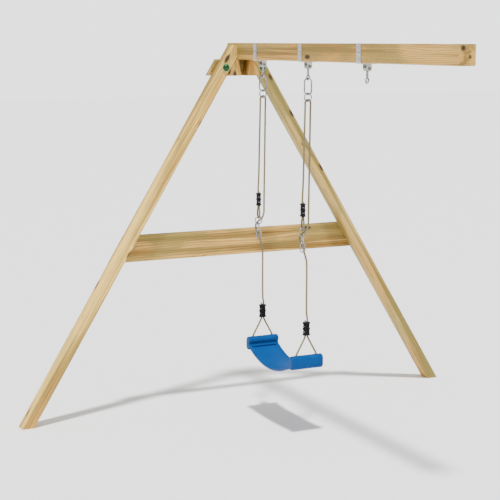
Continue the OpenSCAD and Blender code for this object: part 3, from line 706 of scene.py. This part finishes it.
def build_web():
    top, rear, lower, front = web_outline()
    cuts = 60
    outline = top[1:-1] + rear + lower + front
    reach = math.asin(web_half / web_r) + math.radians(1)
    rings = []
    for i in range(cuts + 1):
        angle = -reach + 2 * reach * i / cuts
        rings.append([Vector((seat_x + (web_r + z) * math.sin(angle), y,
                              web_centre - (web_r + z) * math.cos(angle))) for y, z in outline])
    return skin_rings("seat_web", rings, plastics["seat"], "seat", ("swing_seat",))


seat_web = build_web()
print("seat web", len(seat_web.data.vertices), "points, arc radius", round(web_r, 3), "m")

# %% [markdown]
# Each end is a tall round-edged roll with the rope's two holes in its top. Its side
# outline is carried from front to back, and shrinks towards both faces so that their
# edges are round. A small groove marks where the end turns into the web.

# %% Seat ends
end_height = 0.074


def end_outline(inward):
    """Side outline of an end: (along the seat, below the top), inward is 1 or -1."""
    r = end_thick / 2
    upper = arc((0, -r), r, 180, -24, 17)
    groove = [(r * 0.80, -0.0345), (r * 0.74, -0.039), (r * 0.84, -0.043)]
    lower = arc((0, -end_height + r), r, 8, -180, 17)
    return [(x * inward, z) for x, z in upper + groove + lower]


def build_end(side, inward):
    outline = [Vector((x, 0, z)) for x, z in end_outline(inward)]
    count = len(outline)
    normals = []
    for i, p in enumerate(outline):
        along = (outline[(i + 1) % count] - outline[i - 1]).normalized()
        normals.append(Vector((along.z, 0, -along.x)) * -inward)
    round_off = 0.007
    half = seat_depth / 2
    stations = [(-half + round_off * (1 - math.cos(math.radians(a))),
                 round_off * (1 - math.sin(math.radians(a)))) for a in range(0, 91, 15)]
    stations += [(-y, inset) for y, inset in reversed(stations)]
    x0 = side_x[side]
    rings = [[Vector((x0, y, seat_top)) + p - n * inset for p, n in zip(outline, normals)]
             for y, inset in stations]
    piece = skin_rings(f"seat_end_{side}", rings, plastics["seat"], "seat", ("swing_seat",))
    return piece


seat_ends = {side: build_end(side, 1 if side == "left" else -1) for side in side_x}
print("seat ends:", sorted(seat_ends))

# %% [markdown]
# A ridge runs across the seat at the foot of each end, and a raised collar stands round
# each rope hole. Both are small rings of points carried along a line or round a circle.

# %% Ridges and collars
ridge_r = 5.5 * MM
collar_r, collar_wire = 8.8 * MM, 2.2 * MM


def build_ridge(side, inward):
    x = side_x[side] + inward * (end_thick / 2 + 0.006)
    z = seat_top - step_down + 0.001
    half = seat_depth / 2 - 2 * rim_r
    stations = [(-half + 0.005 * (1 - math.cos(math.radians(a))), math.sin(math.radians(a)))
                for a in range(10, 91, 20)]
    stations += [(-y, share) for y, share in reversed(stations)]
    rings = [[Vector((x + ridge_r * share * math.cos(t), y, z + ridge_r * share * math.sin(t)))
              for t in (2 * math.pi * k / 16 for k in range(16))] for y, share in stations]
    piece = skin_rings(f"seat_ridge_{side}", rings, plastics["seat"], "seat")
    return piece


def build_collar(name, x, y):
    rings = []
    for i in range(33):
        a = 2 * math.pi * i / 32
        rings.append([Vector((x + (collar_r + collar_wire * math.cos(t)) * math.cos(a),
                              y + (collar_r + collar_wire * math.cos(t)) * math.sin(a),
                              seat_top - 1.5 * MM + collar_wire * math.sin(t)))
                      for t in (2 * math.pi * k / 10 for k in range(10))])
    piece = skin_rings(name, rings, plastics["seat"], "seat", closed_ends=False)
    return piece


hole_y = (rope_high.y - rope_low.y) / 2 - rope_r
for side, inward in (("left", 1), ("right", -1)):
    build_ridge(side, inward)
    for place, y in (("front", -hole_y), ("rear", hole_y)):
        build_collar(f"rope_collar_{side}_{place}", side_x[side], y)
print("rope holes at", round(hole_y, 4), "m from the middle")

# %% [markdown]
# The rope goes into each end through two round holes. A boolean cut with a short round
# bar makes them, with 0.6 mm of room round the rope, and the bar is then thrown away.

# %% Drill the rope holes
def drill(piece, x, y, depth=0.04, radius=0.0061, sides=32):
    rings = [[Vector((x + radius * math.cos(t), y + radius * math.sin(t), z))
              for t in (2 * math.pi * k / sides for k in range(sides))]
             for z in (seat_top - depth, seat_top + 0.01)]
    mesh = bpy.data.meshes.new("drill")
    points = [tuple(p) for ring in rings for p in ring]
    faces = [(k, (k + 1) % sides, sides + (k + 1) % sides, sides + k) for k in range(sides)]
    faces += [tuple(reversed(range(sides))), tuple(range(sides, 2 * sides))]
    mesh.from_pydata(points, [], faces)
    tool = bpy.data.objects.new("drill", mesh)
    bpy.context.scene.collection.objects.link(tool)
    cut = piece.modifiers.new("drill", "BOOLEAN")
    cut.operation = "DIFFERENCE"
    cut.solver = "EXACT"
    cut.object = tool
    bpy.context.view_layer.update()
    done = bpy.data.meshes.new_from_object(
        piece.evaluated_get(bpy.context.evaluated_depsgraph_get()))
    piece.modifiers.clear()
    piece.data = done
    bpy.data.objects.remove(tool)


for side, piece in seat_ends.items():
    for y in (-hole_y, hole_y):
        drill(piece, side_x[side], y)
    print(piece.name, len(piece.data.vertices), "points after drilling")

# %% [markdown]
# A rope clamp is two ribbed half shells screwed together. The outline is a slot shape,
# and its size steps out at the two ends and the middle and swells at each rib, so one
# sweep up the clamp gives flanges, ribs and rounded lips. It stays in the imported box.

# %% Rope clamps
def slot_outline(long_half, short_half, shrink):
    flat = long_half - short_half
    r = short_half - shrink
    right = [(flat + dx, dy) for dx, dy in arc((0, 0), r, -90, 90, 14)]
    left = [(-flat + dx, dy) for dx, dy in arc((0, 0), r, 90, 270, 14)]
    return right + left


def clamp_profile(height):
    """(height, shrink) pairs up the clamp, all in metres."""
    lip, flange, step = 0.0012, 0.009, 0.0034
    rows = []
    for middle in (flange / 2, height / 2, height - flange / 2):
        low, high = middle - flange / 2, middle + flange / 2
        rows += [(low, step if middle != flange / 2 else lip), (low + lip, 0.0),
                 (high - lip, 0.0), (high, step if middle < height - flange else lip)]
    ribs = []
    for low, high in ((rows[3][0], rows[4][0]), (rows[7][0], rows[8][0])):
        span = high - low
        for i in range(1, 28):
            wave = 0.5 - 0.5 * math.cos(2 * math.pi * 4 * i / 28)
            ribs.append((low + span * i / 28, step - 0.0012 * wave))
    return sorted(rows + ribs)


for side in side_x:
    for place in ("upper", "lower"):
        node = f"{place}_clamp_{side}"
        low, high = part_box(node)
        middle = (low + high) / 2
        size = (high - low) / 2
        along_x = size.x > size.y
        rings = []
        for z, shrink in clamp_profile(high.z - low.z):
            outline = slot_outline(max(size.x, size.y), min(size.x, size.y), shrink)
            rings.append([Vector((middle.x + (a if along_x else -b),
                                  middle.y + (b if along_x else a), low.z + z))
                          for a, b in outline])
        piece = skin_rings(f"ribbed_{node}", rings, plastics["black"], f"line_{side}", (node,))
print("clamps built")

# %% [markdown]
# The scene is a pale floor under a white surround, with one high sun from behind the
# camera, as in a catalogue. The surround fills the shadows. To the camera alone it is as
# bright as the lit floor, so that hardly any horizon shows.

# %% Floor and light
fill_light, seen_bright = 0.8, 2.42
floor_mesh = bpy.data.meshes.new("floor")
reach = 40.0
floor_mesh.from_pydata([(-reach, -reach, 0), (reach, -reach, 0), (reach, reach, 0),
                        (-reach, reach, 0)], [], [(0, 1, 2, 3)])
floor = bpy.data.objects.new("floor", floor_mesh)
bpy.context.scene.collection.objects.link(floor)
paint, _, floor_shader = new_material("pale floor", roughness=0.9)
floor_shader.inputs["Base Color"].default_value = (0.93, 0.93, 0.93, 1)
floor_mesh.materials.append(paint)

world = bpy.data.worlds.new("surround")
bpy.context.scene.world = world
world.use_nodes = True
sky = world.node_tree
light_path = sky.nodes.new("ShaderNodeLightPath")
seen = sky.nodes.new("ShaderNodeMapRange")
seen.inputs["To Min"].default_value = fill_light
seen.inputs["To Max"].default_value = seen_bright
background = sky.nodes["Background"]
background.inputs["Color"].default_value = (1.0, 1.0, 1.0, 1)
sky.links.new(light_path.outputs["Is Camera Ray"], seen.inputs["Value"])
sky.links.new(seen.outputs["Result"], background.inputs["Strength"])

sun = bpy.data.objects.new("sun", bpy.data.lights.new("sun", "SUN"))
sun.data.energy = 6.0
sun.data.angle = math.radians(5)
sun.rotation_euler = Vector((-0.28, 0.15, -0.95)).to_track_quat("-Z", "Y").to_euler()
bpy.context.scene.collection.objects.link(sun)
print("lit")
